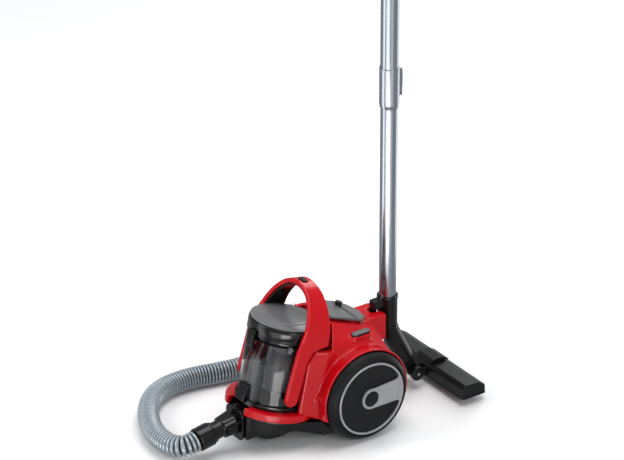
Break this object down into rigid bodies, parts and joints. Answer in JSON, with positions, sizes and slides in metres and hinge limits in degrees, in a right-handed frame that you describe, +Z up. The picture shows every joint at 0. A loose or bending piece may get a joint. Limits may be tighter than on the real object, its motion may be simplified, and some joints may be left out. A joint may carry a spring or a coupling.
{
  "type": "canister vacuum cleaner",
  "caption": "Compact bagless canister vacuum cleaner with a lift-off dust bin, parked telescopic tube, floor head, corrugated hose and hand grip.",
  "frame": {"origin": "on the floor under the middle of the rear axle", "axes": "+Z up; -Y to the hose end, +Y to the parked tube; +X to the machine's left side"},
  "size_m": [0.498, 0.6554, 1.11],
  "materials": {
    "red_plastic": "gloss",
    "black_plastic": "satin",
    "dark_plastic": "satin",
    "grey_plastic": "satin",
    "silver_plastic": "satin",
    "clear_plastic": "clear",
    "smoke_plastic": "clear",
    "rubber": "matte",
    "steel": "machined",
    "aluminium": "cast",
    "chrome_tube": "polished",
    "hose_plastic": "corrugated satin",
    "filter_paper": "pleated",
    "circuit_board": "solder mask",
    "brush_fibre": "bristle"
  },
  "bodies": {
    "root": {"base_pan": "black_plastic", "bumper_rim": "red_plastic", "upper_casing": "red_plastic", "hose_port": "black_plastic", "top_plate": "grey_plastic", "motor_housing": "dark_plastic", "motor_can": "steel", "motor_seal": "rubber", "cord_outlet": "rubber", "exhaust_filter": "filter_paper", "control_board": "circuit_board", "wheel_axles": "steel", "hose_connector": "black_plastic", "hose": "hose_plastic", "grip_cuff": "black_plastic", "hand_grip": "black_plastic"},
    "motor_rotor": {"motor_rotor": "steel", "fan": "aluminium"},
    "cable_reel": {"cable_reel": "dark_plastic"},
    "left_wheel": {"left_tyre": "rubber", "left_wheel_disc": "dark_plastic", "left_wheel_trim": "silver_plastic"},
    "right_wheel": {"right_tyre": "rubber", "right_wheel_disc": "dark_plastic", "right_wheel_trim": "silver_plastic"},
    "caster": {"caster_fork": "dark_plastic", "caster_axle": "steel"},
    "caster_wheel": {"caster_wheel": "dark_plastic"},
    "dust_bin": {"bin_container": "clear_plastic", "bin_floor": "black_plastic", "inlet_riser": "smoke_plastic", "cyclone_core": "silver_plastic", "pleated_filter": "filter_paper", "bin_lid": "black_plastic", "lid_disc": "grey_plastic", "bin_gasket": "rubber", "arch_handle": "red_plastic", "handle_liner": "black_plastic"},
    "release_button": {"release_button": "black_plastic"},
    "front_lever": {"front_lever": "black_plastic"},
    "floor_catch": {"floor_catch": "black_plastic"},
    "rewind_button": {"rewind_button": "grey_plastic"},
    "power_button": {"power_button": "grey_plastic"},
    "power_slider": {"power_slider": "black_plastic"},
    "left_hose_tab": {"left_hose_tab": "dark_plastic"},
    "right_hose_tab": {"right_hose_tab": "dark_plastic"},
    "hose_cuff": {"hose_cuff": "black_plastic"},
    "suction_tube": {"lower_tube": "chrome_tube", "neck_socket": "black_plastic"},
    "upper_tube": {"upper_tube": "chrome_tube", "tube_collar": "chrome_tube"},
    "tube_release": {"tube_release": "black_plastic"},
    "neck": {"neck_elbow": "dark_plastic", "head_axle": "steel"},
    "head_rollers": {"head_rollers": "dark_plastic"},
    "floor_head": {"head_sole": "dark_plastic", "head_cover": "dark_plastic"},
    "head_pedal": {"head_pedal": "dark_plastic"},
    "head_brush": {"head_brush": "brush_fibre"},
    "suction_regulator": {"suction_regulator": "grey_plastic"}
  },
  "joints": [
    {"name": "motor_spin", "type": "hinge", "parent": "root", "child": "motor_rotor", "pos_m": [0, 0, 0.132], "axis": [0, 1, 0], "continuous": true},
    {"name": "reel_spin", "type": "hinge", "parent": "root", "child": "cable_reel", "pos_m": [0, 0.032, 0.03], "axis": [0, 0, 1], "continuous": true},
    {"name": "left_wheel_spin", "type": "hinge", "parent": "root", "child": "left_wheel", "pos_m": [0.115, 0, 0.09], "axis": [1, 0, 0], "continuous": true},
    {"name": "right_wheel_spin", "type": "hinge", "parent": "root", "child": "right_wheel", "pos_m": [-0.115, 0, 0.09], "axis": [1, 0, 0], "continuous": true},
    {"name": "caster_swivel", "type": "hinge", "parent": "root", "child": "caster", "pos_m": [0, -0.15, 0.03], "axis": [0, 0, 1], "continuous": true},
    {"name": "caster_roll", "type": "hinge", "parent": "caster", "child": "caster_wheel", "pos_m": [0, -0.141, 0.014], "axis": [1, 0, 0], "continuous": true},
    {"name": "bin_lift", "type": "slide", "parent": "root", "child": "dust_bin", "axis": [0, 0.2028, 0.9792], "range_m": [0, 0.2]},
    {"name": "release_button_press", "type": "slide", "parent": "dust_bin", "child": "release_button", "axis": [0, -0.2028, -0.9792], "range_m": [0, 0.003], "stiffness_N_per_m": 500},
    {"name": "front_lever_swing", "type": "hinge", "parent": "dust_bin", "child": "front_lever", "pos_m": [0, -0.18023, 0.23465], "axis": [-1, 0, 0], "range_deg": [0, 14], "stiffness_Nm_per_rad": 0.2},
    {"name": "floor_catch_swing", "type": "hinge", "parent": "dust_bin", "child": "floor_catch", "pos_m": [0, -0.19928, 0.13035], "axis": [-1, 0, 0], "range_deg": [0, 12], "stiffness_Nm_per_rad": 0.2},
    {"name": "rewind_button_press", "type": "slide", "parent": "root", "child": "rewind_button", "axis": [0, 0, -1], "range_m": [0, 0.004], "stiffness_N_per_m": 600},
    {"name": "power_button_press", "type": "slide", "parent": "root", "child": "power_button", "axis": [0, 0, -1], "range_m": [0, 0.004], "stiffness_N_per_m": 600},
    {"name": "power_slider_travel", "type": "slide", "parent": "root", "child": "power_slider", "axis": [1, 0, 0], "range_m": [-0.014, 0.056]},
    {"name": "left_hose_tab_press", "type": "slide", "parent": "root", "child": "left_hose_tab", "axis": [-1, 0, 0], "range_m": [0, 0.0015], "stiffness_N_per_m": 800},
    {"name": "right_hose_tab_press", "type": "slide", "parent": "root", "child": "right_hose_tab", "axis": [1, 0, 0], "range_m": [0, 0.0015], "stiffness_N_per_m": 800},
    {"name": "hose_cuff_turn", "type": "hinge", "parent": "root", "child": "hose_cuff", "pos_m": [0, -0.29401, 0.04271], "axis": [0, -0.9848, -0.1736], "continuous": true},
    {"name": "tube_lift", "type": "slide", "parent": "root", "child": "suction_tube", "axis": [0, 0, 1], "range_m": [0, 0.26]},
    {"name": "tube_telescope", "type": "slide", "parent": "suction_tube", "child": "upper_tube", "axis": [0, 0, 1], "range_m": [-0.38, 0]},
    {"name": "tube_release_slide", "type": "slide", "parent": "upper_tube", "child": "tube_release", "axis": [0, 0, -1], "range_m": [0, 0.008], "stiffness_N_per_m": 300},
    {"name": "neck_swivel", "type": "hinge", "parent": "suction_tube", "child": "neck", "pos_m": [0, 0.1306, 0.1556], "axis": [0, 0, 1], "range_deg": [-25, 25]},
    {"name": "head_tilt", "type": "hinge", "parent": "neck", "child": "floor_head", "pos_m": [0, 0.19, 0.033], "axis": [1, 0, 0], "range_deg": [0, 40]},
    {"name": "head_roller_spin", "type": "hinge", "parent": "neck", "child": "head_rollers", "pos_m": [0, 0.19, 0.033], "axis": [1, 0, 0], "continuous": true},
    {"name": "head_pedal_rock", "type": "hinge", "parent": "floor_head", "child": "head_pedal", "pos_m": [0, 0.252, 0.0454], "axis": [-1, 0, 0], "range_deg": [0, 6]},
    {"name": "head_brush_drop", "type": "slide", "parent": "floor_head", "child": "head_brush", "axis": [0, 0, -1], "range_m": [0, 0.004]},
    {"name": "suction_regulator_slide", "type": "slide", "parent": "root", "child": "suction_regulator", "axis": [0, -1, 0], "range_m": [0, 0.012]}
  ],
  "couplings": [
    {"joint": "head_brush_drop", "follows": "head_pedal_rock", "m_per_rad": 0.038196}
  ]
}
